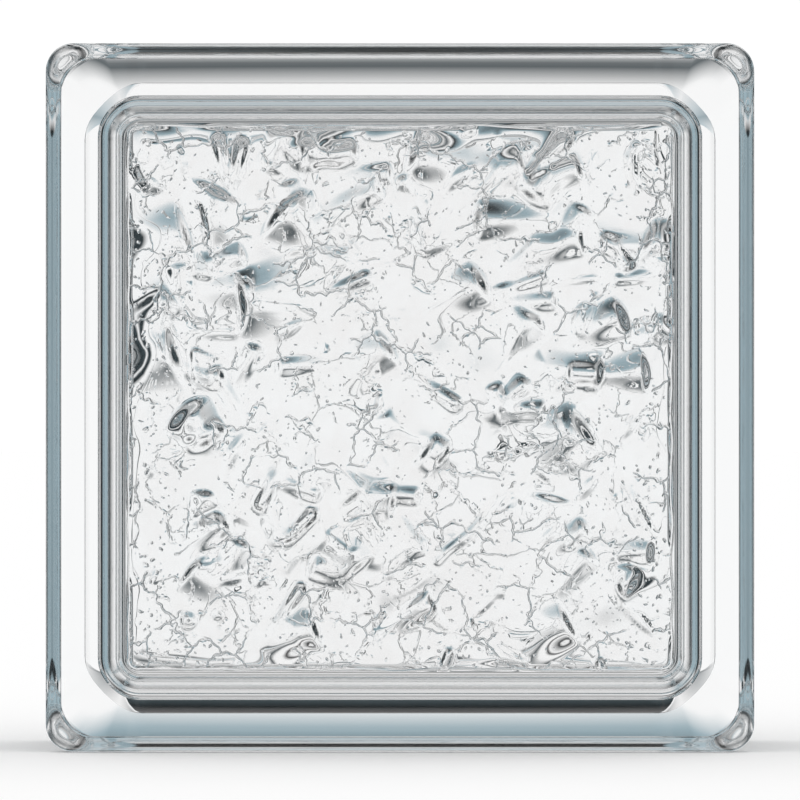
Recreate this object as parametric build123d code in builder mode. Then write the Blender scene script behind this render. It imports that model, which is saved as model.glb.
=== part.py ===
"""Hollow glass block: two pressed-glass dishes, fused rim to rim around a sealed air space.

Frame: X runs across the block, Y from the front face to the back face, Z up.
The origin is under the middle of the block, on the surface that it stands on.
"""

import math
import os

from build123d import *

# The whole block, in millimetres
block_width = 196.85  # across the lips, and the height too: the block is square
block_depth = 98.43  # from the front face to the back face
lip_corner_radius = 7.8  # of the four corners, seen from the front

# The face plate and the lip around it
face_thickness = 6.7  # of the glass at the middle of a face
crown_border = 14.925  # the face falls away to the lip over this width
crown_drop = 1.8
crown_corner_radius = 1.0
face_edge_radius = 5.0  # round from the face into the lip's land
lip_depth = 12.0  # from the face to the lip's shoulder
shoulder_radius = 2.4  # round from the land into the shoulder

# The mortar key: the channel around the edges, between the two lips
key_depth = 5.0  # from the lip's land down to the waist
key_root_radius = 2.3  # hollow round at the foot of the shoulder
waist_corner_radius = 8.5
waist_draft = 2.2  # degrees, narrower towards the seam

# The rim where the two dishes are fused
bead_half_width = 3.8  # of the bulge of melted glass, on each dish
outer_bead_height = 1.4  # above the waist
outer_bead_radius = 0.6
inner_bead_height = 1.3  # into the cavity
inner_bead_radius = 0.6
seam_edge_radius = 0.5  # small round that leaves the fusion line visible

# The cavity, pressed by a tapered plunger
wall_at_seam = 5.8  # of the side wall just outside the inner bead
cavity_draft = 4.5  # degrees, wider towards the seam
cavity_corner_radius = 14.0  # at the seam
cavity_floor_radius = 7.6  # hollow round between side wall and face plate

# The bed of the relief on the inside of the face
panel_width = 150.9
panel_corner_radius = 2.6
panel_step = 0.3  # the bed lies this much nearer the face

half_depth = block_depth / 2
waist_width = block_width - 2 * key_depth
seam_width = waist_width - 2 * math.tan(math.radians(waist_draft)) * (half_depth - lip_depth)
bead_width = seam_width + 2 * outer_bead_height
bead_corner_radius = waist_corner_radius - (waist_width - bead_width) / 2
cavity_width = seam_width - 2 * wall_at_seam
cavity_depth = half_depth - face_thickness
crown_width = block_width - 2 * crown_border
ledge_inset = math.tan(math.radians(cavity_draft)) * bead_half_width

block_centre = (0, 0, block_width / 2)
seam_plane = Plane(origin=block_centre, x_dir=(1, 0, 0), z_dir=(0, -1, 0))
face_plane = seam_plane.offset(half_depth)
land_plane = seam_plane.offset(half_depth - crown_drop)
shoulder_plane = seam_plane.offset(half_depth - lip_depth)
floor_plane = seam_plane.offset(cavity_depth)
ledge_plane = seam_plane.offset(bead_half_width)


def faces_on(part, plane):
    """The part's flat faces that lie on a plane parallel to the seam."""
    flat = part.faces().filter_by(Plane.XZ)
    return flat.filter_by_position(Axis.Y, plane.origin.Y - 0.01, plane.origin.Y + 0.01)


def edges_on(part, plane):
    """The part's edges that lie in a plane parallel to the seam."""
    return part.edges().filter_by_position(Axis.Y, plane.origin.Y - 0.01, plane.origin.Y + 0.01)


with BuildPart() as front_dish:
    # Waist, from the back of the lip to the seam
    with BuildSketch(shoulder_plane):
        RectangleRounded(waist_width, waist_width, waist_corner_radius)
    extrude(amount=lip_depth - half_depth, taper=waist_draft)

    # Lip
    with BuildSketch(shoulder_plane):
        RectangleRounded(block_width, block_width, lip_corner_radius)
    extrude(amount=lip_depth - crown_drop)
    shoulder = faces_on(front_dish, shoulder_plane)[0]
    fillet(shoulder.inner_wires()[0].edges(), key_root_radius)
    shoulder = faces_on(front_dish, shoulder_plane)[0]
    fillet(shoulder.outer_wire().edges(), shoulder_radius)

    # Face plate, flat in the middle, with its border falling away to the lip
    with BuildSketch(land_plane):
        RectangleRounded(block_width, block_width, lip_corner_radius)
    with BuildSketch(face_plane):
        RectangleRounded(crown_width, crown_width, crown_corner_radius)
    loft(ruled=True)
    fillet(edges_on(front_dish, land_plane), face_edge_radius)

    # Outer half of the fusion bead
    with BuildSketch(seam_plane):
        RectangleRounded(bead_width, bead_width, bead_corner_radius)
    extrude(amount=bead_half_width)
    bead_side = faces_on(front_dish, ledge_plane)[0]
    fillet(bead_side.inner_wires()[0].edges(), outer_bead_radius)
    bead_side = faces_on(front_dish, ledge_plane)[0]
    fillet(bead_side.outer_wire().edges(), outer_bead_radius)
    fillet(faces_on(front_dish, seam_plane)[0].outer_wire().edges(), seam_edge_radius)

    # Cavity with its drafted walls and hollow-rounded floor, as far as the fusion bead
    with BuildSketch(ledge_plane):
        RectangleRounded(
            cavity_width - 2 * ledge_inset,
            cavity_width - 2 * ledge_inset,
            cavity_corner_radius - ledge_inset,
        )
    extrude(amount=cavity_depth - bead_half_width, taper=cavity_draft, mode=Mode.SUBTRACT)
    fillet(faces_on(front_dish, floor_plane)[0].edges(), cavity_floor_radius)

    # Mouth of the cavity, narrowed by the inner half of the bead
    with BuildSketch(seam_plane):
        RectangleRounded(
            cavity_width - 2 * inner_bead_height,
            cavity_width - 2 * inner_bead_height,
            cavity_corner_radius - inner_bead_height,
        )
    extrude(amount=bead_half_width, mode=Mode.SUBTRACT)
    ledges = faces_on(front_dish, ledge_plane).sort_by(lambda side: side.bounding_box().size.X)
    fillet(ledges[0].inner_wires()[0].edges(), inner_bead_radius)

    # Bed of the relief
    with BuildSketch(floor_plane):
        RectangleRounded(panel_width, panel_width, panel_corner_radius)
    extrude(amount=panel_step, mode=Mode.SUBTRACT)

with BuildPart() as back_dish:
    add(front_dish.part.mirror(Plane.XZ))

os.makedirs("parts", exist_ok=True)
for dish, label in ((front_dish, "front_dish"), (back_dish, "back_dish")):
    dish.part.label = label
    export_step(dish.part, f"parts/{label}.step")
    print(label, round(dish.part.volume / 1000, 1), "cm3")
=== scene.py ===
"""Looks of a hollow glass block: the fused glass body with its ice-like relief, in a plain studio.

The frame is the part's own, in metres: X across the block, Y from the front face to the back, Z up.
"""

import logging
import math
from collections.abc import Iterator
from dataclasses import dataclass
from enum import Enum
from typing import ClassVar

import bmesh
import bpy
import numpy as np
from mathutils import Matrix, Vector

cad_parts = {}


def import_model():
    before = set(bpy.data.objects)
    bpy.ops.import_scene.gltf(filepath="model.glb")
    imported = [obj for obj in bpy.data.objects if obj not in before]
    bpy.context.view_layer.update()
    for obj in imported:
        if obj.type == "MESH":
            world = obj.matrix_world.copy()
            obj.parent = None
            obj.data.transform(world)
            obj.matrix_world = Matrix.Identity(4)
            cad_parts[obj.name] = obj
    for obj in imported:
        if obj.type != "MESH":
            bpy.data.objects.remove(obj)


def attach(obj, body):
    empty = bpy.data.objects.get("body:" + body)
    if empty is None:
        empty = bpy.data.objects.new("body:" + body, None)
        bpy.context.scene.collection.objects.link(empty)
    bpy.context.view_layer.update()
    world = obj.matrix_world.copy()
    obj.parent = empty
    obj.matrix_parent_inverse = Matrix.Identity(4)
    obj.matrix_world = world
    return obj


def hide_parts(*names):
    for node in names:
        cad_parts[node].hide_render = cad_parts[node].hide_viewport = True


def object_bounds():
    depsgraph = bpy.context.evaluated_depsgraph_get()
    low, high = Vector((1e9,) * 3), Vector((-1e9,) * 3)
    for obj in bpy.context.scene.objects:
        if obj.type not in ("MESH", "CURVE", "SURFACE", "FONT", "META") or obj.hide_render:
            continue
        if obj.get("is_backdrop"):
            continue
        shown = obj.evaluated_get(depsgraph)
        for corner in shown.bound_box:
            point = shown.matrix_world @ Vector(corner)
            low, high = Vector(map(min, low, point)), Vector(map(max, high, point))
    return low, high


log = logging.getLogger("glass_block")

MM = 0.001
PANEL_INSET = "panel_inset"  # Point attribute: millimetres inside the panel's outline, from INSET_ZERO
INSET_ZERO = 10.0


class Side(Enum):
    """The two dishes of the block, by the sign of their Y."""

    FRONT = -1
    BACK = 1


class Air(Enum):
    """Where the air lies beside a skin of the glass."""

    OUTSIDE = "outside"
    INSIDE = "inside"


@dataclass(frozen=True)
class Ring:
    """One rounded square of a skin, parallel to the block's faces, in metres.

    Attributes:
        half_width: From the block's middle to its flat sides.
        corner: Radius of its four corners.
        depth: Distance from the seam between the two dishes.
    """

    half_width: float
    corner: float
    depth: float


def arc(radius: float, start: float, end: float, steps: int) -> Iterator[tuple[float, float]]:
    """Points of a round in a section of the dish.

    Args:
        radius: Of the round, in metres.
        start: First angle in degrees, from outwards (0) to the face's own direction (90).
        end: Last angle in degrees.
        steps: How many pieces the round is cut into.

    Yields:
        How far each point stands outwards and towards the face from the round's centre.
    """
    for angle in np.radians(np.linspace(start, end, steps + 1)):
        yield radius * math.cos(angle), radius * math.sin(angle)


def inside_square(across, up, half_width: float, corner: float):
    """How far points lie inside a rounded square.

    Args:
        across: The points' distance from its middle, sideways: a number or an array.
        up: The same, upwards.
        half_width: Of the square.
        corner: Radius of its corners.

    Returns:
        The distance from its outline, negative outside it.
    """
    reach_x = np.abs(across) - (half_width - corner)
    reach_z = np.abs(up) - (half_width - corner)
    past = np.hypot(np.maximum(reach_x, 0.0), np.maximum(reach_z, 0.0))
    return corner - past - np.minimum(np.maximum(reach_x, reach_z), 0.0)


@dataclass(frozen=True)
class DishSection:
    """Section of one pressed dish, in metres and degrees.

    The lip, key, wall and floor are within half a millimetre of the solid's. The crowned border is a
    round here and a flat slope in the solid, and they are up to 0.7 mm apart at its outer end.

    Attributes:
        half_width: Of the block, across the lips.
        half_depth: From the seam to the face.
    """

    half_width: float
    half_depth: float
    lip_corner: float = 7.8 * MM
    crown_start: float = 76.0 * MM
    crown_corner: float = 1.0 * MM
    crown_lean: float = 12.7
    edge_round: float = 5.2 * MM
    lip_depth: float = 12.1 * MM
    shoulder_round: float = 2.5 * MM
    key_depth: float = 5.1 * MM
    key_root: float = 2.2 * MM
    waist_corner: float = 8.5 * MM
    waist_draft: float = 2.1
    bead_half: float = 3.6 * MM
    bead_round: float = 0.55 * MM
    outer_bead: float = 1.8 * MM
    inner_bead: float = 1.75 * MM
    seam_round: float = 0.45 * MM
    face_thickness: float = 6.46 * MM
    wall_at_seam: float = 5.47 * MM
    cavity_draft: float = 4.55
    cavity_corner: float = 14.0 * MM
    floor_round: float = 7.43 * MM
    panel_half: float = 75.45 * MM
    panel_corner: float = 2.6 * MM
    panel_step: float = 0.2 * MM

    @property
    def waist(self) -> float:
        """Half of the waist's width at the lip's shoulder."""
        return self.half_width - self.key_depth

    @property
    def shoulder(self) -> float:
        """Depth of the lip's shoulder."""
        return self.half_depth - self.lip_depth

    @property
    def floor(self) -> float:
        """Depth of the cavity's floor, which the panel of the relief is sunk into."""
        return self.half_depth - self.face_thickness

    def waist_at(self, depth: float) -> float:
        """Half of the waist's width at a depth."""
        return self.waist - math.tan(math.radians(self.waist_draft)) * (self.shoulder - depth)

    def cavity_at(self, depth: float) -> float:
        """Half of the cavity's width at a depth."""
        seam = self.waist_at(0.0) - self.wall_at_seam
        return seam - math.tan(math.radians(self.cavity_draft)) * depth

    def face_rings(self) -> Iterator[Ring]:
        """Rings of the face, from its flat middle over the crowned border to the lip's side."""
        inner = self.half_width - self.edge_round
        lean = math.radians(self.crown_lean)
        end = inner + self.edge_round * math.sin(lean)
        crown_round = (end - self.crown_start) / math.sin(lean)
        lowest = self.half_depth - crown_round
        for out, fore in arc(crown_round, 90, 90 - self.crown_lean, 14):
            share = out / (end - self.crown_start)
            corner = self.crown_corner + (self.lip_corner - self.crown_corner) * share
            yield Ring(self.crown_start + out, corner, lowest + fore)
        centre = lowest + (crown_round - self.edge_round) * math.cos(lean)
        for out, fore in list(arc(self.edge_round, 90 - self.crown_lean, 0, 12))[1:]:
            yield Ring(inner + out, self.lip_corner - self.edge_round + out, centre + fore)

    def key_rings(self) -> Iterator[Ring]:
        """Rings of the shoulder, the mortar key and the outer half of the fusion bead."""
        inner = self.half_width - self.shoulder_round
        for out, fore in arc(self.shoulder_round, 0, -90, 10):
            corner = self.lip_corner - self.shoulder_round + out
            yield Ring(inner + out, corner, self.shoulder + self.shoulder_round + fore)
        centre = self.shoulder - self.key_root
        for out, fore in arc(self.key_root, 90, 180 + self.waist_draft, 10):
            yield self.waist_ring(self.waist_at(centre) + self.key_root + out, centre + fore)
        foot = self.bead_half + self.bead_round
        for out, fore in arc(self.bead_round, 180, 270, 5):
            yield self.waist_ring(self.waist_at(foot) + self.bead_round + out, foot + fore)
        top = self.waist_at(0.0) + self.outer_bead
        for out, fore in arc(self.bead_round, 90, 0, 5):
            yield self.waist_ring(top - self.bead_round + out, self.bead_half - self.bead_round + fore)
        for out, fore in arc(self.seam_round, 0, -90, 4):
            yield self.waist_ring(top - self.seam_round + out, self.seam_round + fore)

    def waist_ring(self, half_width: float, depth: float) -> Ring:
        """A ring of the waist, whose corners are concentric at all depths."""
        return Ring(half_width, self.waist_corner + half_width - self.waist, depth)

    def cavity_rings(self) -> Iterator[Ring]:
        """Rings of the air space, from the seam to the floor around the panel."""
        bead = self.cavity_at(0.0) - self.inner_bead
        yield self.cavity_ring(bead, 0.0)
        for out, fore in arc(self.bead_round, 180, 90, 5):
            yield self.cavity_ring(bead + self.bead_round + out, self.bead_half - self.bead_round + fore)
        yield self.cavity_ring(self.cavity_at(self.bead_half), self.bead_half)
        lean = math.radians(self.cavity_draft)
        centre_depth = self.floor - self.floor_round
        centre = self.cavity_at(centre_depth) - self.floor_round / math.cos(lean)
        for out, fore in arc(self.floor_round, self.cavity_draft, 90, 18):
            yield self.cavity_ring(centre + out, centre_depth + fore)

    def cavity_ring(self, half_width: float, depth: float) -> Ring:
        """A ring of the cavity, whose corners are concentric at all depths."""
        return Ring(half_width, self.cavity_corner + half_width - self.cavity_at(0.0), depth)

    @property
    def floor_rim(self) -> Ring:
        """The ring where the cavity's flat floor starts."""
        return list(self.cavity_rings())[-1]


class Skin:
    """A skin of the glass, made of rounded squares that are extruded one into the next."""

    CORNER_STEPS = 12

    def __init__(self, name: str, middle: float) -> None:
        """Starts an empty mesh.

        Args:
            name: Of its object.
            middle: Height of the rings' middle, in metres.
        """
        bpy.ops.object.select_all(action="DESELECT")
        bpy.ops.mesh.primitive_plane_add(size=MM)
        self.object = bpy.context.active_object
        self.object.name = name
        self.middle = middle
        self.last: Ring | None = None
        bpy.ops.object.mode_set(mode="EDIT")
        bpy.ops.mesh.delete(type="VERT")

    def start(self, ring: Ring, side: Side, capped: bool) -> None:
        """Adds the first ring, a plane with rounded corners, and keeps its face or only its rim."""
        bpy.ops.mesh.primitive_plane_add(
            size=2 * ring.half_width,
            location=(0, side.value * ring.depth, self.middle),
            rotation=(math.pi / 2, 0, 0),
        )
        bpy.ops.mesh.bevel(
            offset=ring.corner, segments=self.CORNER_STEPS, affect="VERTICES", clamp_overlap=False
        )
        if not capped:
            bpy.ops.mesh.delete(type="ONLY_FACE")
        bpy.ops.mesh.select_all(action="SELECT")
        self.last = ring

    def add_ring(self, ring: Ring, side: Side) -> None:
        """Extrudes the last ring into the next, point by point at the same bearing.

        Args:
            ring: The rounded square.
            side: Which dish it is on.
        """
        bpy.ops.mesh.extrude_edges_indiv()
        mesh = bmesh.from_edit_mesh(self.object.data)
        for vert in mesh.verts:
            if not vert.select:
                continue
            across, up = vert.co.x, vert.co.z - self.middle
            centre = self.last.half_width - self.last.corner
            out_x = (abs(across) - centre) / self.last.corner
            out_z = (abs(up) - centre) / self.last.corner
            centre = ring.half_width - ring.corner
            vert.co.x = math.copysign(centre + ring.corner * out_x, across)
            vert.co.y = side.value * ring.depth
            vert.co.z = self.middle + math.copysign(centre + ring.corner * out_z, up)
        bmesh.update_edit_mesh(self.object.data)
        self.last = ring

    def cap(self) -> None:
        """Closes the skin with one flat face inside the last ring."""
        bpy.ops.mesh.edge_face_add()

    def finish(self) -> bpy.types.Object:
        """Leaves edit mode and returns the object."""
        bpy.ops.object.mode_set(mode="OBJECT")
        return self.object


def join(pieces: list[bpy.types.Object]) -> bpy.types.Object:
    """Joins objects into the first of them."""
    bpy.ops.object.select_all(action="DESELECT")
    for piece in pieces:
        piece.select_set(True)
    bpy.context.view_layer.objects.active = pieces[0]
    bpy.ops.object.join()
    return pieces[0]


def turn_faces(piece: bpy.types.Object, air: Air) -> None:
    """Merges a closed skin's doubles and points its faces at the air."""
    bpy.ops.object.select_all(action="DESELECT")
    piece.select_set(True)
    bpy.context.view_layer.objects.active = piece
    bpy.ops.object.mode_set(mode="EDIT")
    bpy.ops.mesh.select_all(action="SELECT")
    bpy.ops.mesh.remove_doubles(threshold=0.001 * MM)
    bpy.ops.mesh.normals_make_consistent(inside=air is Air.INSIDE)
    bpy.ops.object.mode_set(mode="OBJECT")


class Form(Enum):
    """Cross-section of a vein of the relief."""

    STEP = "a steep flank and a long gentle rise behind it"
    GROOVE = "two steep flanks with a flat bed between them"
    CREASE = "a narrow valley"


@dataclass(frozen=True)
class Vein:
    """One vein or dimple of the relief, as it is seen in the photograph.

    Attributes:
        path: Its line, in pixels of the photograph from its top left corner.
        width: Of its steep part, in pixels.
        slope: Steepest slope, in degrees.
        form: Its cross-section.
        side: Which side of the line is the low one, 1 for the right of the line's direction.
    """

    path: tuple[tuple[float, float], ...]
    width: float = 12.0
    slope: float = 27.0
    form: Form = Form.STEP
    side: int = 1


@dataclass(frozen=True)
class PhotoScale:
    """How pixels of the photograph lie on the block's faces."""

    middle_x: float = 399.5
    middle_y: float = 397.0
    pixel: float = 0.277 * MM

    def place(self, point: tuple[float, float]) -> tuple[float, float]:
        """A pixel's place across and up from the block's middle, in metres."""
        return (point[0] - self.middle_x) * self.pixel, (self.middle_y - point[1]) * self.pixel


@dataclass(frozen=True)
class Relief:
    """The ice-like relief on the inside of one face.

    Attributes:
        seed: Of its random swells and the veins that are scattered between the drawn ones.
        veins: The veins that are listed one by one.
        swell: Height of the broad swells, in metres.
        tail: How far the gentle rise behind a step reaches, in metres.
        scattered: How many further veins there are.
        boost: Factor on the veins' slopes.
    """

    seed: int
    veins: tuple[Vein, ...] = ()
    swell: float = 0.35 * MM
    tail: float = 9.0 * MM
    scattered: int = 0
    boost: float = 1.18
    photo: PhotoScale = PhotoScale()
    SWELL_PITCHES: ClassVar = ((46 * MM, 1.0), (23 * MM, 0.4), (12 * MM, 0.16))
    SWELL_WAVES: ClassVar[int] = 12
    SCATTER_LENGTHS: ClassVar = (8.0, 14.0, 26.0, 50.0)  # In pixels of the photograph
    SCATTER_SHARES: ClassVar = (0.4, 0.3, 0.2, 0.1)
    STEEPEST: ClassVar[float] = 40.0  # Degrees

    def heights(self, across: np.ndarray, up: np.ndarray) -> np.ndarray:
        """Heights over the bed, towards the cavity.

        Args:
            across: Places across the face from its middle, in metres.
            up: Places up from its middle.

        Returns:
            The heights, in metres.
        """
        random = np.random.default_rng(self.seed)
        height = self.swells(random, across, up)
        for vein in (*self.veins, *self.scatter(random)):
            height += self.vein_height(vein, across, up)
        return height

    def swells(self, random: np.random.Generator, across: np.ndarray, up: np.ndarray) -> np.ndarray:
        """Broad, soft swells."""
        height = np.zeros_like(across)
        for pitch, share in self.SWELL_PITCHES:
            for _ in range(self.SWELL_WAVES):
                turn, phase = random.uniform(0, 2 * math.pi, 2)
                along = across * math.cos(turn) + up * math.sin(turn)
                wave = 2 * math.pi * along / pitch / random.uniform(0.8, 1.3) + phase
                height += share / 4 * np.sin(wave)
        return self.swell * height

    def scatter(self, random: np.random.Generator) -> Iterator[Vein]:
        """Short veins at random places and bearings, from small dimples to long creases."""
        for _ in range(self.scattered):
            x, y = random.uniform((130, 126), (669, 668))
            turn = random.uniform(0, math.pi)
            length = random.choice(self.SCATTER_LENGTHS, p=self.SCATTER_SHARES)
            bend = random.normal(0, 0.18)
            dx, dy = length / 2 * math.cos(turn), length / 2 * math.sin(turn)
            path = ((x - dx, y - dy), (x - 2 * bend * dy, y + 2 * bend * dx), (x + dx, y + dy))
            yield Vein(
                path,
                width=random.uniform(3.5, 7.0),
                slope=random.uniform(16, 34),
                form=random.choice((Form.STEP, Form.GROOVE, Form.CREASE)),
                side=random.choice((-1, 1)),
            )

    def vein_height(self, vein: Vein, across: np.ndarray, up: np.ndarray) -> np.ndarray:
        """Heights of one vein, from each place's distance to its line and how far along it lies."""
        line = self.smooth_line([self.photo.place(point) for point in vein.path])
        width = vein.width * self.photo.pixel
        reach = self.tail * 2.2 + width
        near = (across > line[:, 0].min() - reach) & (across < line[:, 0].max() + reach)
        near &= (up > line[:, 1].min() - reach) & (up < line[:, 1].max() + reach)
        height = np.zeros_like(across)
        distance, along = self.beside_line(line, across[near], up[near])
        strength = np.sin(math.pi * np.clip(along, 0.0, 1.0)) ** 0.8
        height[near] = self.profile(vein, distance * vein.side, width, strength)
        return height

    def smooth_line(self, points: list[tuple[float, float]], pieces: int = 8) -> np.ndarray:
        """Points along a smooth curve through a vein's points."""
        ends = np.array([points[0], *points, points[-1]])
        line = [ends[1]]
        for a, b, c, d in zip(ends, ends[1:], ends[2:], ends[3:]):
            for t in np.linspace(0, 1, pieces + 1)[1:]:
                square = (2 * a - 5 * b + 4 * c - d) * t**2
                cube = (3 * b - a - 3 * c + d) * t**3
                line.append(0.5 * (2 * b + (c - a) * t + square + cube))
        return np.array(line)

    def beside_line(self, line: np.ndarray, across: np.ndarray, up: np.ndarray) -> tuple:
        """Signed distance from a line, and the share of its length at the nearest point."""
        nearest = np.full(across.shape, np.inf)
        signed = np.zeros(across.shape)
        along = np.zeros(across.shape)
        steps = np.diff(line, axis=0)
        lengths = np.hypot(*steps.T)
        starts = np.concatenate([[0], np.cumsum(lengths)])
        for (x, z), (dx, dz), length, start in zip(line, steps, lengths, starts):
            place = ((across - x) * dx + (up - z) * dz) / length**2
            at = np.clip(place, 0.0, 1.0)
            distance = np.hypot(across - x - at * dx, up - z - at * dz)
            closer = distance < nearest
            nearest = np.where(closer, distance, nearest)
            turn = (across - x) * dz - (up - z) * dx
            signed = np.where(closer, np.copysign(distance, turn), signed)
            along = np.where(closer, (start + at * length) / starts[-1], along)
        return signed, along

    def profile(self, vein: Vein, distance: np.ndarray, width: float, strength: np.ndarray) -> np.ndarray:
        """Cross-section of a vein.

        Args:
            vein: The vein.
            distance: Distance from its line, positive on its low side.
            width: Of its steep part, in metres.
            strength: Share of its depth, less towards its ends.

        Returns:
            The height, zero or negative.
        """
        rise = math.tan(math.radians(min(vein.slope * self.boost, self.STEEPEST)))
        half = np.maximum(width / 2 * strength, 0.05 * MM)
        if vein.form is Form.STEP:
            fall = np.clip(distance / half, -1.0, 1.0)
            fall = 0.5 + 0.75 * fall - 0.25 * fall**3
            behind = np.maximum(distance - half, 0.0) / self.tail
            return -rise * half * 1.33 * strength * fall * np.exp(-(behind**2))
        if vein.form is Form.GROOVE:
            flank = half * 0.45
            edge = np.clip((half - np.abs(distance)) / flank, 0.0, 1.0)
            return -rise * flank / 1.5 * edge * edge * (3 - 2 * edge) * strength
        valley = np.clip(1 - np.abs(distance) / half, 0.0, 1.0)
        return -rise * half / 1.5 * valley * valley * (3 - 2 * valley)


UPPER_LEFT = (
    Vein(((180, 142), (180, 162), (181, 183)), 11, 36, Form.GROOVE),
    Vein(((209, 140), (224, 136)), 10, 28),
    Vein(((234, 140), (250, 144)), 12, 30),
    Vein(((188, 176), (215, 190), (247, 207)), 15, 27),
    Vein(((133, 148), (146, 178), (178, 196)), 9, 32, Form.GROOVE),
    Vein(((174, 196), (184, 232), (196, 268)), 13, 30),
    Vein(((197, 196), (206, 226), (210, 258)), 9, 31, side=-1),
    Vein(((162, 268), (192, 262)), 7, 28),
    Vein(((158, 282), (168, 296), (183, 311)), 8, 34),
    Vein(((163, 308), (172, 350), (187, 394)), 20, 28),
    Vein(((237, 239), (246, 268)), 8, 30),
    Vein(((233, 267), (243, 305), (240, 339)), 13, 30, side=-1),
    Vein(((253, 266), (250, 311)), 7, 28),
    Vein(((258, 241), (280, 208), (310, 185)), 15, 32),
    Vein(((272, 187), (301, 178)), 8, 26),
    Vein(((306, 170), (326, 162), (346, 170)), 11, 27, side=-1),
    Vein(((297, 142), (319, 142)), 8, 30),
    Vein(((267, 127), (296, 134)), 8, 30),
    Vein(((279, 141), (298, 173)), 7, 26, side=-1),
    Vein(((352, 137), (357, 166)), 11, 27),
    Vein(((369, 173), (385, 200)), 10, 30),
    Vein(((388, 159), (391, 187)), 7, 32),
    Vein(((274, 343), (290, 328), (307, 319)), 13, 34, Form.GROOVE),
    Vein(((244, 341), (267, 353)), 10, 28),
    Vein(((277, 355), (279, 378)), 8, 27, side=-1),
    Vein(((205, 373), (221, 364)), 9, 30),
    Vein(((212, 393), (221, 373)), 8, 28, side=-1),
    Vein(((374, 325), (386, 345), (401, 366)), 12, 29),
    Vein(((366, 268), (372, 282)), 7, 28),
)
UPPER_RIGHT = (
    Vein(((403, 178), (414, 152), (421, 125)), 14, 29),
    Vein(((440, 196), (458, 176), (478, 162)), 13, 32, Form.GROOVE),
    Vein(((458, 212), (487, 182), (503, 157)), 5, 34, Form.CREASE),
    Vein(((479, 194), (477, 220), (479, 244)), 15, 27, side=-1),
    Vein(((503, 266), (522, 250), (537, 225)), 9, 22),
    Vein(((515, 141), (521, 163), (531, 184)), 8, 30),
    Vein(((513, 185), (531, 196), (549, 211)), 18, 28, side=-1),
    Vein(((524, 155), (546, 160), (556, 187)), 8, 32, Form.GROOVE),
    Vein(((573, 150), (584, 184)), 8, 30),
    Vein(((570, 201), (596, 216)), 9, 28),
    Vein(((556, 128), (566, 136), (575, 148)), 15, 27),
    Vein(((637, 137), (630, 160), (638, 191)), 12, 36, Form.GROOVE),
    Vein(((656, 214), (648, 240), (635, 262)), 13, 30, side=-1),
    Vein(((638, 262), (622, 275)), 8, 32),
    Vein(((595, 296), (579, 322), (586, 341)), 20, 35, Form.GROOVE),
    Vein(((611, 293), (622, 315), (631, 336)), 14, 34),
    Vein(((467, 257), (480, 280), (494, 305)), 16, 28),
    Vein(((506, 305), (530, 314), (551, 334)), 14, 28),
    Vein(((579, 225), (584, 259)), 8, 29),
    Vein(((590, 228), (592, 257)), 6, 31, Form.CREASE),
    Vein(((602, 228), (600, 255)), 8, 29, side=-1),
    Vein(((554, 289), (555, 312)), 7, 30),
    Vein(((543, 268), (548, 282)), 7, 30),
    Vein(((601, 348), (600, 372), (595, 396)), 13, 28),
    Vein(((570, 359), (568, 384)), 7, 28, side=-1),
    Vein(((517, 373), (533, 389)), 8, 28),
    Vein(((483, 391), (503, 382)), 9, 27),
    Vein(((640, 346), (646, 372), (645, 396)), 10, 30),
    Vein(((650, 339), (660, 310)), 8, 32),
)
LOWER_LEFT = (
    Vein(((163, 432), (186, 410), (210, 394)), 20, 28),
    Vein(((213, 416), (226, 436)), 9, 28),
    Vein(((248, 429), (232, 452), (222, 481)), 12, 34, Form.GROOVE),
    Vein(((150, 461), (150, 479)), 9, 34, Form.GROOVE),
    Vein(((186, 492), (209, 494), (219, 509)), 10, 30),
    Vein(((215, 507), (222, 520), (234, 534)), 14, 33),
    Vein(((228, 534), (256, 552)), 10, 30),
    Vein(((268, 547), (297, 536)), 9, 30, side=-1),
    Vein(((186, 501), (214, 534)), 5, 32, Form.CREASE),
    Vein(((175, 591), (192, 566), (216, 547)), 9, 29),
    Vein(((219, 583), (248, 574)), 10, 35, Form.GROOVE),
    Vein(((254, 572), (276, 587)), 9, 35, Form.GROOVE),
    Vein(((187, 609), (188, 632)), 18, 33, Form.GROOVE),
    Vein(((306, 603), (314, 628), (323, 652)), 11, 32),
    Vein(((331, 461), (362, 490), (371, 522), (379, 552)), 12, 30, Form.GROOVE),
    Vein(((396, 478), (387, 527)), 9, 29),
    Vein(((376, 554), (358, 566), (341, 583)), 9, 31),
    Vein(((296, 582), (308, 590)), 10, 34),
    Vein(((307, 505), (320, 517)), 10, 32),
    Vein(((250, 504), (266, 512)), 9, 32, side=-1),
    Vein(((322, 485), (315, 505)), 8, 30),
    Vein(((317, 552), (306, 580)), 8, 30, side=-1),
)
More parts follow.
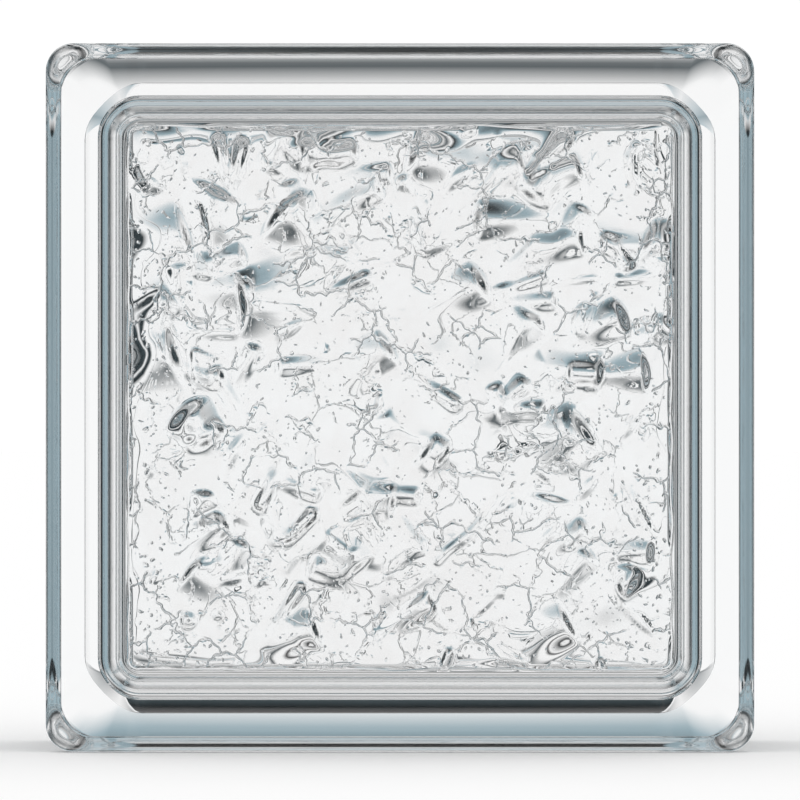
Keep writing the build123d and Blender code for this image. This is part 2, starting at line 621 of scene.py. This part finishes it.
LOWER_RIGHT = (
    Vein(((463, 398), (452, 414)), 9, 29),
    Vein(((544, 398), (544, 423)), 9, 29),
    Vein(((567, 398), (580, 426), (604, 453)), 24, 28),
    Vein(((558, 409), (571, 443)), 6, 31, Form.CREASE),
    Vein(((410, 469), (425, 452), (439, 429)), 9, 30),
    Vein(((430, 472), (443, 456), (454, 439)), 8, 30, side=-1),
    Vein(((418, 485), (416, 507)), 8, 28),
    Vein(((398, 542), (433, 553), (470, 533), (502, 493), (525, 490)), 10, 32, Form.GROOVE),
    Vein(((526, 491), (560, 500), (577, 502)), 9, 31),
    Vein(((575, 501), (588, 486), (599, 472)), 12, 34, Form.GROOVE),
    Vein(((619, 443), (630, 425), (641, 409)), 10, 34, Form.GROOVE),
    Vein(((621, 474), (636, 508), (656, 542)), 13, 33, Form.GROOVE),
    Vein(((535, 547), (550, 534), (565, 519)), 11, 33, Form.GROOVE),
    Vein(((577, 514), (592, 540)), 8, 29),
    Vein(((570, 543), (586, 552), (601, 567)), 9, 30),
    Vein(((612, 567), (630, 566), (646, 574)), 9, 31),
    Vein(((651, 539), (649, 567)), 8, 30),
    Vein(((613, 576), (625, 601)), 8, 30, side=-1),
    Vein(((620, 602), (640, 620), (660, 640)), 13, 30, Form.GROOVE),
    Vein(((555, 596), (566, 620), (581, 645)), 11, 32),
    Vein(((424, 592), (439, 614)), 9, 33),
    Vein(((468, 618), (484, 606), (499, 589)), 8, 34, Form.GROOVE),
    Vein(((444, 648), (455, 652)), 8, 32),
    Vein(((595, 658), (606, 660)), 8, 32),
)


@dataclass
class GlassBlock:
    """The block as one fused body of glass around its sealed air space."""

    section: DishSection
    middle: float
    reliefs: dict[Side, Relief]
    plain_glass: bpy.types.Material
    relief_glass: bpy.types.Material
    relief_squares: int = 208
    step_width: float = 0.7 * MM
    floor_margin: float = 0.12 * MM
    sharp_angle: float = math.radians(50)
    FILL_SCALE: ClassVar[float] = 1000.0  # Fill takes points closer than 0.03 as one

    def build_outside(self) -> bpy.types.Object:
        """The outer skin: both faces, the lips, the mortar key and the bead."""
        skin = Skin("glass_block", self.middle)
        half = [*self.section.face_rings(), *self.section.key_rings()]
        skin.start(half[0], Side.FRONT, capped=True)
        for ring in half[1:]:
            skin.add_ring(ring, Side.FRONT)
        for ring in half[-2::-1]:
            skin.add_ring(ring, Side.BACK)
        skin.cap()
        outside = skin.finish()
        outside.data.materials.append(self.plain_glass)
        turn_faces(outside, Air.OUTSIDE)
        return outside

    def build_panel(self, side: Side) -> bpy.types.Object:
        """The panel inside one face: a fine grid raised into the relief, with rounded corners."""
        size = self.section
        half = size.floor_rim.half_width - self.floor_margin
        bpy.ops.object.select_all(action="DESELECT")
        bpy.ops.mesh.primitive_grid_add(
            x_subdivisions=self.relief_squares,
            y_subdivisions=self.relief_squares,
            size=2 * half,
            location=(0, 0, 0),
        )
        panel = bpy.context.active_object
        panel.name = f"{side.name.lower()}_panel"
        points = np.empty(3 * len(panel.data.vertices), np.float32)
        panel.data.vertices.foreach_get("co", points)
        across, up = points.reshape(-1, 3)[:, :2].T.astype(float)
        inside = inside_square(across, up, size.panel_half, size.panel_corner)
        rise = np.clip(inside / self.step_width, 0.0, 1.0)
        rise = rise * rise * (3 - 2 * rise)
        height = rise * (self.reliefs[side].heights(across, up) - size.panel_step)
        depth = size.floor - height
        placed = np.column_stack([across, side.value * depth, self.middle + up])
        panel.data.vertices.foreach_set("co", placed.astype(np.float32).ravel())
        inset = panel.data.attributes.new(PANEL_INSET, "FLOAT", "POINT")
        inset.data.foreach_set("value", (INSET_ZERO + inside / MM).astype(np.float32))
        panel.data.materials.append(self.relief_glass)
        panel.data.update()
        self.trim_corners(panel, side)
        return panel

    def trim_corners(self, panel: bpy.types.Object, side: Side) -> None:
        """Deletes the grid's points outside the floor's rounded corners, and lays its border flat."""
        rim = self.section.floor_rim
        bpy.ops.object.mode_set(mode="EDIT")
        bpy.ops.mesh.select_all(action="DESELECT")
        mesh = bmesh.from_edit_mesh(panel.data)
        for vert in mesh.verts:
            inside = inside_square(vert.co.x, vert.co.z - self.middle, rim.half_width, rim.corner)
            vert.select = bool(inside < self.floor_margin / 2)
        bmesh.update_edit_mesh(panel.data)
        bpy.ops.mesh.delete(type="VERT")
        mesh = bmesh.from_edit_mesh(panel.data)
        for vert in mesh.verts:
            if vert.is_boundary:
                vert.co.y = side.value * self.section.floor
        bmesh.update_edit_mesh(panel.data)
        bpy.ops.object.mode_set(mode="OBJECT")

    def resize_all(self, factor: float) -> None:
        """Resizes the whole mesh in edit mode about the frame's origin."""
        bpy.ops.mesh.select_all(action="SELECT")
        bpy.ops.transform.resize(value=(factor, factor, factor), center_override=(0, 0, 0))

    def build_half_cavity(self, side: Side) -> bpy.types.Object:
        """Half of the air space's skin: the wall, the floor round and the panel."""
        skin = Skin(f"{side.name.lower()}_cavity", self.middle)
        seam, *rest = self.section.cavity_rings()
        skin.start(seam, side, capped=False)
        for ring in rest:
            skin.add_ring(ring, side)
        wall = skin.finish()
        wall.data.materials.append(self.plain_glass)
        half = join([wall, self.build_panel(side)])
        bpy.ops.object.mode_set(mode="EDIT")
        self.resize_all(self.FILL_SCALE)
        bpy.ops.mesh.select_all(action="DESELECT")
        bpy.ops.mesh.select_mode(type="EDGE")
        floor = self.section.floor * self.FILL_SCALE
        mesh = bmesh.from_edit_mesh(half.data)
        for edge in mesh.edges:
            at_floor = all(abs(abs(vert.co.y) - floor) < 0.001 * floor for vert in edge.verts)
            edge.select = edge.is_boundary and at_floor
        bmesh.update_edit_mesh(half.data)
        bpy.ops.mesh.fill(use_beauty=False)
        bpy.ops.mesh.select_mode(type="VERT")
        self.resize_all(1 / self.FILL_SCALE)
        bpy.ops.object.mode_set(mode="OBJECT")
        return half

    def build(self) -> bpy.types.Object:
        """The whole glass body, smooth, with its flat faces kept flat."""
        cavity = join([self.build_half_cavity(Side.FRONT), self.build_half_cavity(Side.BACK)])
        turn_faces(cavity, Air.INSIDE)
        block = join([self.build_outside(), cavity])
        bpy.ops.object.shade_smooth_by_angle(angle=self.sharp_angle)
        flat = block.modifiers.new("flat_faces", "WEIGHTED_NORMAL")
        flat.mode = "FACE_AREA"
        flat.weight = 100
        flat.keep_sharp = True
        bpy.ops.object.modifier_apply(modifier=flat.name)
        return block


class Nodes:
    """Short ways to add shader nodes to a tree."""

    def __init__(self, tree: bpy.types.NodeTree) -> None:
        """Keeps the tree that the nodes are added to."""
        self.tree = tree

    def feed(self, socket: bpy.types.NodeSocket, value) -> None:
        """Sets a socket to a number or a colour, or links another node's output to it."""
        if isinstance(value, bpy.types.NodeSocket):
            self.tree.links.new(value, socket)
        else:
            socket.default_value = value

    def calculate(self, kind: str, *values, clamp: bool = False) -> bpy.types.NodeSocket:
        """Adds a Math node and returns its output.

        Args:
            kind: The node's operation.
            values: Numbers or sockets, in the order of its inputs.
            clamp: Whether the result is kept between 0 and 1.

        Returns:
            The node's output socket.
        """
        node = self.tree.nodes.new("ShaderNodeMath")
        node.operation = kind
        node.use_clamp = clamp
        for socket, value in zip(node.inputs, values):
            self.feed(socket, value)
        return node.outputs[0]

    def mix(self, factor, first, second) -> bpy.types.NodeSocket:
        """Adds a colour mix and returns its output."""
        node = self.tree.nodes.new("ShaderNodeMix")
        node.data_type = "RGBA"
        self.feed(node.inputs["Factor"], factor)
        self.feed(node.inputs["A"], first)
        self.feed(node.inputs["B"], second)
        return node.outputs["Result"]

    def smooth(self, value, start: float, end: float, low=0.0, high=1.0) -> bpy.types.NodeSocket:
        """Adds a smooth step from one level to another and returns its output.

        Args:
            value: What it follows.
            start: Where it leaves the first level.
            end: Where it reaches the second level.
            low: The first level.
            high: The second level.

        Returns:
            The node's output socket.
        """
        node = self.tree.nodes.new("ShaderNodeMapRange")
        node.interpolation_type = "SMOOTHSTEP"
        for socket, given in zip(node.inputs, (value, start, end, low, high)):
            self.feed(socket, given)
        return node.outputs[0]

    def noise(self, place, scale: float, detail: float = 2.0) -> bpy.types.Node:
        """Adds a noise texture."""
        node = self.tree.nodes.new("ShaderNodeTexNoise")
        self.feed(node.inputs["Vector"], place)
        self.feed(node.inputs["Scale"], scale)
        self.feed(node.inputs["Detail"], detail)
        return node

    def cells(self, place, scale: float, feature: str) -> bpy.types.Node:
        """Adds a Voronoi texture."""
        node = self.tree.nodes.new("ShaderNodeTexVoronoi")
        node.feature = feature
        self.feed(node.inputs["Vector"], place)
        self.feed(node.inputs["Scale"], scale)
        return node

    def move(self, place, by, amount: float) -> bpy.types.NodeSocket:
        """Moves places by a vector times an amount."""
        node = self.tree.nodes.new("ShaderNodeVectorMath")
        node.operation = "MULTIPLY_ADD"
        self.feed(node.inputs[0], by)
        node.inputs[1].default_value = (amount, amount, amount)
        self.feed(node.inputs[2], place)
        return node.outputs[0]


@dataclass(frozen=True)
class ClearGlass:
    """Colourless pressed glass, whose panels carry the relief's creases, pits and outline.

    Attributes:
        index: Of refraction.
        pit_pitch: Distance between the pits, in millimetres.
        pit_depth: Their depth.
        crease_pitch: Distance between the creases.
        crease_depth: Their depth.
        crease_half: Half of their width.
        rim_depth: Depth of the fine groove around a panel.
        rim_half: Half of its width.
        jag: How far the pits and creases are pulled out of shape.
    """

    index: float = 1.52
    pit_pitch: float = 2.4
    pit_depth: float = 0.26
    crease_pitch: float = 11.0
    crease_depth: float = 0.2
    crease_half: float = 0.4
    rim_depth: float = 0.16
    rim_half: float = 0.42
    jag: float = 3.0

    def build(self, name: str = "clear_glass") -> bpy.types.Material:
        """The plain material, as a clear dielectric."""
        material = bpy.data.materials.new(name)
        material.use_nodes = True
        shader = material.node_tree.nodes["Principled BSDF"]
        shader.inputs["Base Color"].default_value = (1.0, 1.0, 1.0, 1.0)
        shader.inputs["Roughness"].default_value = 0.0
        shader.inputs["IOR"].default_value = self.index
        shader.inputs["Transmission Weight"].default_value = 1.0
        return material

    def build_relief(self) -> bpy.types.Material:
        """The same glass with the panels' fine relief as bump."""
        material = self.build("relief_glass")
        nodes = Nodes(material.node_tree)
        bump = nodes.tree.nodes.new("ShaderNodeBump")
        nodes.feed(bump.inputs["Distance"], MM)
        nodes.feed(bump.inputs["Height"], self.fine_relief(nodes))
        nodes.feed(nodes.tree.nodes["Principled BSDF"].inputs["Normal"], bump.outputs["Normal"])
        return material

    def fine_relief(self, nodes: Nodes) -> bpy.types.NodeSocket:
        """Height of the fine relief in millimetres, zero away from the panels."""
        spot = nodes.tree.nodes.new("ShaderNodeTexCoord").outputs["Object"]
        place = nodes.move((0.0, 0.0, 0.0), spot, 1 / MM)
        attribute = nodes.tree.nodes.new("ShaderNodeAttribute")
        attribute.attribute_name = PANEL_INSET
        inset = nodes.calculate("SUBTRACT", attribute.outputs["Fac"], INSET_ZERO)
        jagged = nodes.move(place, nodes.noise(place, 0.35, 1.0).outputs["Color"], self.jag)
        patches = nodes.tree.nodes.new("ShaderNodeSeparateXYZ")
        nodes.feed(patches.inputs[0], nodes.noise(place, 0.1, 0.0).outputs["Color"])
        crowd = self.crowding(nodes, place, patches.outputs[1])
        pits = nodes.cells(jagged, 1 / self.pit_pitch, "F1").outputs["Distance"]
        size = nodes.calculate("MULTIPLY_ADD", crowd, 0.19, 0.12)
        pits = nodes.smooth(nodes.calculate("DIVIDE", pits, size), 0.0, 1.0, self.pit_depth, 0.0)
        veins = nodes.cells(jagged, 1 / self.crease_pitch, "DISTANCE_TO_EDGE").outputs["Distance"]
        veins = nodes.smooth(veins, 0.0, self.crease_half / self.crease_pitch, self.crease_depth, 0.0)
        broken = nodes.smooth(patches.outputs[0], 0.47, 0.56)
        veins = nodes.calculate("MULTIPLY", veins, broken)
        rim = nodes.calculate("MULTIPLY_ADD", patches.outputs[2], 1.4, -0.7)
        rim = nodes.calculate("ABSOLUTE", nodes.calculate("SUBTRACT", inset, rim))
        rim = nodes.smooth(rim, 0.0, self.rim_half, self.rim_depth, 0.0)
        depth = nodes.calculate("ADD", pits, veins)
        depth = nodes.calculate("MULTIPLY", depth, nodes.smooth(inset, 0.3, 0.8))
        return nodes.calculate("SUBTRACT", 0.0, nodes.calculate("ADD", depth, rim))

    def crowding(self, nodes: Nodes, place, patches) -> bpy.types.NodeSocket:
        """How crowded the pits are: most along the left and right edges and in the lower third."""
        split = nodes.tree.nodes.new("ShaderNodeSeparateXYZ")
        nodes.feed(split.inputs[0], place)
        sides = nodes.smooth(nodes.calculate("ABSOLUTE", split.outputs[0]), 56.0, 74.0)
        low = nodes.smooth(split.outputs[2], 50.0, 30.0)
        spread = nodes.smooth(patches, 0.42, 0.6)
        crowd = nodes.calculate("MAXIMUM", sides, low)
        return nodes.calculate("MULTIPLY_ADD", spread, 0.5, nodes.calculate("MULTIPLY", crowd, 0.5))


@dataclass(frozen=True)
class Band:
    """A point of the surround's brightness, by its angle off the camera's own direction.

    Attributes:
        angle: Off that direction, in degrees: 0 is straight behind the block.
        light: Its brightness, where 1 is white.
        colour: Its tint.
    """

    angle: float
    light: float
    colour: tuple[float, float, float] = (1.0, 1.0, 1.0)


@dataclass(frozen=True)
class Surround:
    """The studio's surround, as the glass sees it: panels beside, above and below the block."""

    beside: tuple[Band, ...]
    above: tuple[Band, ...]
    below: tuple[Band, ...]


@dataclass
class Studio:
    """A plain studio: a pale floor, the surround that the glass shows, and the camera.

    Attributes:
        middle: Height of the block's middle, in metres.
        half_depth: From the seam to the face.
        surround: What the glass shows.
        camera_distance: From the front face.
        camera_drop: How far the camera is below the middle.
        aim_drop: How far the picture's middle is below it.
        view_width: Width of the picture at the front face.
        backdrop: Brightness behind the block, for the camera.
        bounces: How often light is followed through the glass.
    """

    middle: float
    half_depth: float
    surround: Surround
    camera_distance: float = 2.3
    camera_drop: float = 0.0088
    aim_drop: float = 0.0007
    view_width: float = 0.2215
    backdrop: float = 1.01
    bounces: int = 24
    FLOOR_RADIUS: ClassVar[float] = 30.0
    FLOOR_COLOUR: ClassVar = (0.99, 0.99, 0.99, 1)
    BLEND_SLOPE: ClassVar[float] = 2.5  # From beside to above or below, around the diagonals
    BLEND_START: ClassVar[float] = -0.75

    def ramp(self, nodes: Nodes, bands: tuple[Band, ...], angle: bpy.types.NodeSocket):
        """Adds a colour ramp that follows the bands over half a turn, and returns its output."""
        node = nodes.tree.nodes.new("ShaderNodeValToRGB")
        elements = node.color_ramp.elements
        while len(elements) > 1:
            elements.remove(elements[-1])
        for index, band in enumerate(bands):
            element = elements[0] if index == 0 else elements.new(band.angle / 180)
            element.position = band.angle / 180
            element.color = (*(band.light * part for part in band.colour), 1.0)
        nodes.feed(node.inputs[0], angle)
        return node.outputs[0]

    def build_world(self) -> None:
        """White for the camera, plain for the floor, and the surround for the glass."""
        world = bpy.data.worlds.new("studio")
        bpy.context.scene.world = world
        world.use_nodes = True
        tree = world.node_tree
        tree.nodes.clear()
        nodes = Nodes(tree)
        split = tree.nodes.new("ShaderNodeSeparateXYZ")
        nodes.feed(split.inputs[0], tree.nodes.new("ShaderNodeTexCoord").outputs["Generated"])
        across, along, up = split.outputs
        off_line = nodes.calculate("DIVIDE", nodes.calculate("ARCCOSINE", along), math.pi)
        upward = nodes.calculate("ABSOLUTE", up)
        steep = nodes.calculate("ARCTAN2", upward, nodes.calculate("ABSOLUTE", across))
        steep = nodes.calculate("DIVIDE", steep, math.pi / 2)
        steep = nodes.calculate("MULTIPLY_ADD", steep, self.BLEND_SLOPE, self.BLEND_START, clamp=True)
        is_above = nodes.calculate("GREATER_THAN", up, 0.0)
        above = self.ramp(nodes, self.surround.above, off_line)
        below = self.ramp(nodes, self.surround.below, off_line)
        beside = self.ramp(nodes, self.surround.beside, off_line)
        seen = nodes.mix(steep, beside, nodes.mix(is_above, below, above))
        rays = tree.nodes.new("ShaderNodeLightPath").outputs
        through = nodes.calculate("MAXIMUM", rays["Is Glossy Ray"], rays["Is Transmission Ray"])
        shade = tree.nodes.new("ShaderNodeBackground")
        white = (self.backdrop, self.backdrop, self.backdrop, 1.0)
        nodes.feed(shade.inputs["Color"], nodes.mix(through, white, seen))
        out = tree.nodes.new("ShaderNodeOutputWorld")
        nodes.feed(out.inputs["Surface"], shade.outputs[0])

    def build_floor(self) -> None:
        """A wide pale floor."""
        bpy.ops.object.select_all(action="DESELECT")
        bpy.ops.mesh.primitive_circle_add(vertices=96, radius=self.FLOOR_RADIUS, fill_type="NGON")
        floor = bpy.context.active_object
        floor.name = "floor"
        material = bpy.data.materials.new("pale_floor")
        material.use_nodes = True
        shader = material.node_tree.nodes["Principled BSDF"]
        shader.inputs["Base Color"].default_value = self.FLOOR_COLOUR
        shader.inputs["Roughness"].default_value = 1.0
        shader.inputs["Specular IOR Level"].default_value = 0.0
        floor.data.materials.append(material)
        floor.visible_transmission = False
        floor.visible_glossy = False
        floor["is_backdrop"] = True

    def build_camera(self) -> None:
        """A long lens square on to the front face."""
        data = bpy.data.cameras.new("camera")
        camera = bpy.data.objects.new("camera", data)
        bpy.context.scene.collection.objects.link(camera)
        camera.location = (0, -self.half_depth - self.camera_distance, self.middle - self.camera_drop)
        camera.rotation_euler = (math.pi / 2, 0, 0)
        data.lens = data.sensor_width * self.camera_distance / self.view_width
        data.shift_y = (self.camera_drop - self.aim_drop) / self.view_width
        data.clip_end = 100.0
        bpy.context.scene.camera = camera

    def build(self) -> None:
        """Builds the studio and sets how light is traced through the glass."""
        self.build_world()
        self.build_floor()
        self.build_camera()
        scene = bpy.context.scene
        scene.view_settings.view_transform = "Standard"
        scene.cycles.max_bounces = self.bounces
        scene.cycles.transmission_bounces = self.bounces
        scene.cycles.glossy_bounces = self.bounces


BLUE = (0.68, 0.90, 1.0)
BLACK, DARK, SHADE, HALF, PALE, WHITE = 0.0, 0.08, 0.35, 0.5, 0.75, 1.0
SURROUND = Surround(
    # White backdrop, black flags with a white strip between them, then the grey room
    beside=(
        Band(0, WHITE), Band(15, WHITE), Band(20, BLACK), Band(25, BLACK), Band(30, WHITE),
        Band(35, BLACK), Band(60, BLACK), Band(75, HALF, BLUE), Band(180, SHADE, BLUE),
    ),
    # Backdrop, its dim top edge, one soft lamp, a pale ceiling and the lamp above the camera
    above=(
        Band(0, WHITE), Band(4, WHITE), Band(8, HALF, BLUE), Band(15, BLACK), Band(20, WHITE),
        Band(30, DARK, BLUE), Band(42, PALE), Band(52, DARK, BLUE), Band(65, HALF, BLUE),
        Band(130, PALE), Band(160, BLACK),
    ),
    # Backdrop, the gap behind the table, its white sweep, a low front panel and a white card
    below=(
        Band(0, WHITE), Band(4, WHITE), Band(8, DARK, BLUE), Band(12, WHITE), Band(18, WHITE),
        Band(22, BLACK), Band(26, WHITE), Band(48, BLACK), Band(55, WHITE), Band(95, PALE),
        Band(105, BLACK),
    ),
)


def main() -> None:
    """Builds the block and its studio in order."""
    logging.basicConfig(level=logging.INFO)
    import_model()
    cad_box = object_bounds()
    low, high = cad_box
    skin = 0.02 * MM
    section = DishSection((high.x - low.x) / 2 - skin, (high.y - low.y) / 2 - skin)
    middle = (low.z + high.z) / 2
    veins = (*UPPER_LEFT, *UPPER_RIGHT, *LOWER_LEFT, *LOWER_RIGHT)
    reliefs = {
        Side.FRONT: Relief(seed=5, veins=veins, scattered=120),
        Side.BACK: Relief(seed=11, scattered=90),
    }
    glass = ClearGlass()
    block = GlassBlock(section, middle, reliefs, glass.build(), glass.build_relief()).build()
    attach(block, "root")
    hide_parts("front_dish", "back_dish")
    log.info("%s: %d faces", block.name, len(block.data.polygons))
    Studio(middle, section.half_depth, SURROUND).build()


if __name__ == "__main__":
    main()
